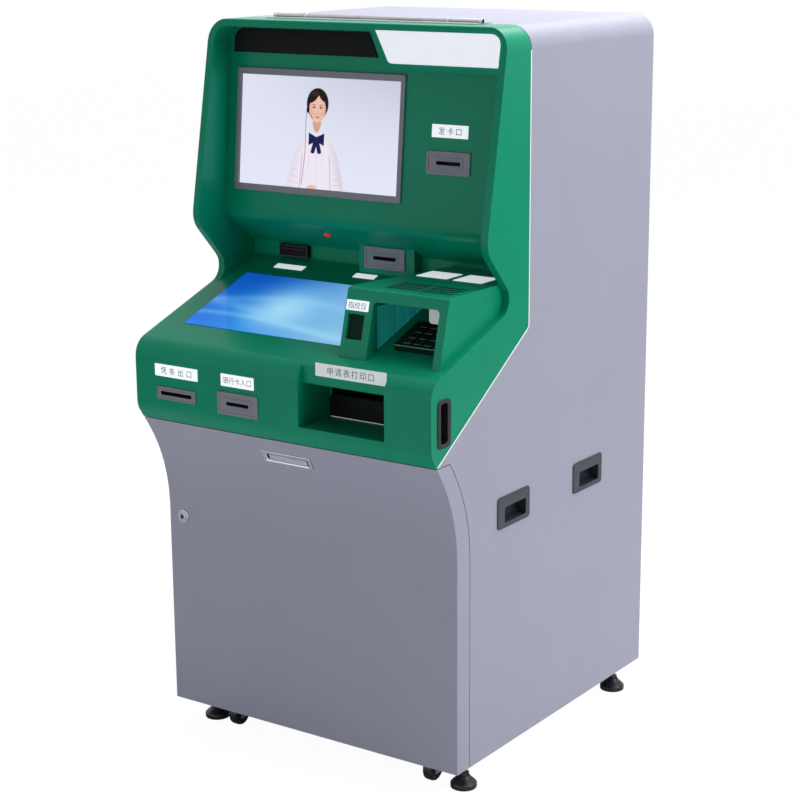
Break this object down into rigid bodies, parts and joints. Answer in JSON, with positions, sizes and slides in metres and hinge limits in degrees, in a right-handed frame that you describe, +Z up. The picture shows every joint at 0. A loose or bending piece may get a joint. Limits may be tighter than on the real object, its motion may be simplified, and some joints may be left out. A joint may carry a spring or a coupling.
{
  "type": "self-service card kiosk",
  "caption": "Floor-standing self-service kiosk with a lifting hood, two screens, keypad under a cover, card and paper outlets and a swinging front door.",
  "frame": {"origin": "on the floor, under the middle of the kiosk's overall box", "axes": "+X to the right seen from the front, the front faces -Y, +Z up"},
  "size_m": [0.7436, 0.8668, 1.5396],
  "materials": {
    "green_lacquer": "Glossy teal-green lacquered moulding.",
    "grey_coat": "Satin blue-grey powder-coated sheet steel.",
    "black_plastic": "Black moulded plastic with a fine grain.",
    "module_grey": "Mid-grey satin module bezels.",
    "white_plastic": "Off-white plastic.",
    "dark_glass": "Black glass, glossy.",
    "screen_glass": "Lit screen behind glass.",
    "red_lens": "Red translucent lens.",
    "steel": "Plain polished or brushed steel.",
    "zinc_steel": "Zinc-plated steel.",
    "black_rubber": "Black rubber-edged foot."
  },
  "bodies": {
    "cabinet": {"cabinet_shell": "grey_coat", "rear_panel": "grey_coat", "side_pull_front_left": "black_plastic", "side_pull_front_right": "black_plastic", "side_pull_rear_left": "black_plastic", "side_pull_rear_right": "black_plastic", "control_computer": "black_plastic", "form_printer": "black_plastic", "hood_hinge_fixed": "zinc_steel"},
    "door": {"front_door": "grey_coat", "door_pull": "steel", "door_hinge_lower": "zinc_steel", "door_hinge_upper": "zinc_steel"},
    "lock": {"door_lock": "zinc_steel"},
    "hood": {"hood_moulding": "green_lacquer", "console_moulding": "green_lacquer", "keypad_housing": "green_lacquer", "fingerprint_reader": "dark_glass", "pin_pad": "black_plastic", "monitor_bezel": "module_grey", "upper_monitor": "screen_glass", "camera_strip": "dark_glass", "header_plate": "white_plastic", "touch_monitor": "screen_glass", "card_dispenser": "module_grey", "id_card_reader": "module_grey", "bank_card_reader": "module_grey", "receipt_printer": "module_grey", "document_scanner": "dark_glass", "indicator_lens": "red_lens", "grip_left": "black_plastic", "grip_right": "black_plastic", "hood_hinge_moving": "zinc_steel"},
    "strut": {"strut_cylinder": "black_plastic"},
    "strut_piston": {"strut_rod": "steel"},
    "paper_tray": {"printer_tray": "module_grey"},
    "key_01": {"pin_key_01": "steel"},
    "key_02": {"pin_key_02": "steel"},
    "key_03": {"pin_key_03": "steel"},
    "key_04": {"pin_key_04": "steel"},
    "key_05": {"pin_key_05": "steel"},
    "key_06": {"pin_key_06": "steel"},
    "key_07": {"pin_key_07": "steel"},
    "key_08": {"pin_key_08": "steel"},
    "key_09": {"pin_key_09": "steel"},
    "key_10": {"pin_key_10": "steel"},
    "key_11": {"pin_key_11": "steel"},
    "key_12": {"pin_key_12": "steel"},
    "foot_front_left": {"foot_front_left": "black_rubber"},
    "castor_front_left": {"castor_fork_front_left": "zinc_steel"},
    "wheel_front_left": {"castor_wheel_front_left": "black_plastic"},
    "foot_front_right": {"foot_front_right": "black_rubber"},
    "castor_front_right": {"castor_fork_front_right": "zinc_steel"},
    "wheel_front_right": {"castor_wheel_front_right": "black_plastic"},
    "foot_rear_left": {"foot_rear_left": "black_rubber"},
    "castor_rear_left": {"castor_fork_rear_left": "zinc_steel"},
    "wheel_rear_left": {"castor_wheel_rear_left": "black_plastic"},
    "foot_rear_right": {"foot_rear_right": "black_rubber"},
    "castor_rear_right": {"castor_fork_rear_right": "zinc_steel"},
    "wheel_rear_right": {"castor_wheel_rear_right": "black_plastic"}
  },
  "joints": [
    {"name": "door_swing", "type": "hinge", "parent": "cabinet", "child": "door", "pos_m": [0.358, -0.2694, 0], "axis": [0, 0, 1], "range_deg": [0, 90]},
    {"name": "lock_turn", "type": "hinge", "parent": "door", "child": "lock", "pos_m": [-0.333, -0.3399, 0.4855], "axis": [0, 1, 0], "range_deg": [0, 90]},
    {"name": "hood_lift", "type": "hinge", "parent": "cabinet", "child": "hood", "pos_m": [0, -0.0784, 1.535], "axis": [-1, 0, 0], "range_deg": [0, 50]},
    {"name": "strut_swing", "type": "hinge", "parent": "cabinet", "child": "strut", "pos_m": [0.342, 0.1071, 1.48], "axis": [-1, 0, 0], "range_deg": [0, 11.07]},
    {"name": "strut_extend", "type": "slide", "parent": "strut", "child": "strut_piston", "axis": [0, -0.987, -0.161], "range_m": [0, 0.0601]},
    {"name": "paper_tray_pull", "type": "slide", "parent": "cabinet", "child": "paper_tray", "axis": [0, -1, 0], "range_m": [0, 0.2]},
    {"name": "key_01_press", "type": "slide", "parent": "hood", "child": "key_01", "axis": [0, 0.3322, -0.9432], "range_m": [0, 0.002], "stiffness_N_per_m": 400, "springref_m": -0.001},
    {"name": "key_02_press", "type": "slide", "parent": "hood", "child": "key_02", "axis": [0, 0.3322, -0.9432], "range_m": [0, 0.002], "stiffness_N_per_m": 400, "springref_m": -0.001},
    {"name": "key_03_press", "type": "slide", "parent": "hood", "child": "key_03", "axis": [0, 0.3322, -0.9432], "range_m": [0, 0.002], "stiffness_N_per_m": 400, "springref_m": -0.001},
    {"name": "key_04_press", "type": "slide", "parent": "hood", "child": "key_04", "axis": [0, 0.3322, -0.9432], "range_m": [0, 0.002], "stiffness_N_per_m": 400, "springref_m": -0.001},
    {"name": "key_05_press", "type": "slide", "parent": "hood", "child": "key_05", "axis": [0, 0.3322, -0.9432], "range_m": [0, 0.002], "stiffness_N_per_m": 400, "springref_m": -0.001},
    {"name": "key_06_press", "type": "slide", "parent": "hood", "child": "key_06", "axis": [0, 0.3322, -0.9432], "range_m": [0, 0.002], "stiffness_N_per_m": 400, "springref_m": -0.001},
    {"name": "key_07_press", "type": "slide", "parent": "hood", "child": "key_07", "axis": [0, 0.3322, -0.9432], "range_m": [0, 0.002], "stiffness_N_per_m": 400, "springref_m": -0.001},
    {"name": "key_08_press", "type": "slide", "parent": "hood", "child": "key_08", "axis": [0, 0.3322, -0.9432], "range_m": [0, 0.002], "stiffness_N_per_m": 400, "springref_m": -0.001},
    {"name": "key_09_press", "type": "slide", "parent": "hood", "child": "key_09", "axis": [0, 0.3322, -0.9432], "range_m": [0, 0.002], "stiffness_N_per_m": 400, "springref_m": -0.001},
    {"name": "key_10_press", "type": "slide", "parent": "hood", "child": "key_10", "axis": [0, 0.3322, -0.9432], "range_m": [0, 0.002], "stiffness_N_per_m": 400, "springref_m": -0.001},
    {"name": "key_11_press", "type": "slide", "parent": "hood", "child": "key_11", "axis": [0, 0.3322, -0.9432], "range_m": [0, 0.002], "stiffness_N_per_m": 400, "springref_m": -0.001},
    {"name": "key_12_press", "type": "slide", "parent": "hood", "child": "key_12", "axis": [0, 0.3322, -0.9432], "range_m": [0, 0.002], "stiffness_N_per_m": 400, "springref_m": -0.001},
    {"name": "foot_front_left_turn", "type": "hinge", "parent": "cabinet", "child": "foot_front_left", "pos_m": [-0.32, -0.2619, 0], "axis": [0, 0, 1], "continuous": true},
    {"name": "castor_front_left_swivel", "type": "hinge", "parent": "cabinet", "child": "castor_front_left", "pos_m": [-0.25, -0.2819, 0.062], "axis": [0, 0, 1], "continuous": true},
    {"name": "wheel_front_left_spin", "type": "hinge", "parent": "castor_front_left", "child": "wheel_front_left", "pos_m": [-0.25, -0.2699, 0.0275], "axis": [1, 0, 0], "continuous": true},
    {"name": "foot_front_right_turn", "type": "hinge", "parent": "cabinet", "child": "foot_front_right", "pos_m": [0.335, -0.2619, 0], "axis": [0, 0, 1], "continuous": true},
    {"name": "castor_front_right_swivel", "type": "hinge", "parent": "cabinet", "child": "castor_front_right", "pos_m": [0.265, -0.2819, 0.062], "axis": [0, 0, 1], "continuous": true},
    {"name": "wheel_front_right_spin", "type": "hinge", "parent": "castor_front_right", "child": "wheel_front_right", "pos_m": [0.265, -0.2699, 0.0275], "axis": [1, 0, 0], "continuous": true},
    {"name": "foot_rear_left_turn", "type": "hinge", "parent": "cabinet", "child": "foot_rear_left", "pos_m": [-0.32, 0.3681, 0], "axis": [0, 0, 1], "continuous": true},
    {"name": "castor_rear_left_swivel", "type": "hinge", "parent": "cabinet", "child": "castor_rear_left", "pos_m": [-0.25, 0.3601, 0.062], "axis": [0, 0, 1], "continuous": true},
    {"name": "wheel_rear_left_spin", "type": "hinge", "parent": "castor_rear_left", "child": "wheel_rear_left", "pos_m": [-0.25, 0.3721, 0.0275], "axis": [1, 0, 0], "continuous": true},
    {"name": "foot_rear_right_turn", "type": "hinge", "parent": "cabinet", "child": "foot_rear_right", "pos_m": [0.335, 0.3681, 0], "axis": [0, 0, 1], "continuous": true},
    {"name": "castor_rear_right_swivel", "type": "hinge", "parent": "cabinet", "child": "castor_rear_right", "pos_m": [0.265, 0.3601, 0.062], "axis": [0, 0, 1], "continuous": true},
    {"name": "wheel_rear_right_spin", "type": "hinge", "parent": "castor_rear_right", "child": "wheel_rear_right", "pos_m": [0.265, 0.3721, 0.0275], "axis": [1, 0, 0], "continuous": true}
  ],
  "couplings": [
    {"joint": "strut_swing", "follows": "hood_lift", "ratio": 0.22125},
    {"joint": "strut_extend", "follows": "hood_lift", "m_per_rad": 0.068756}
  ]
}
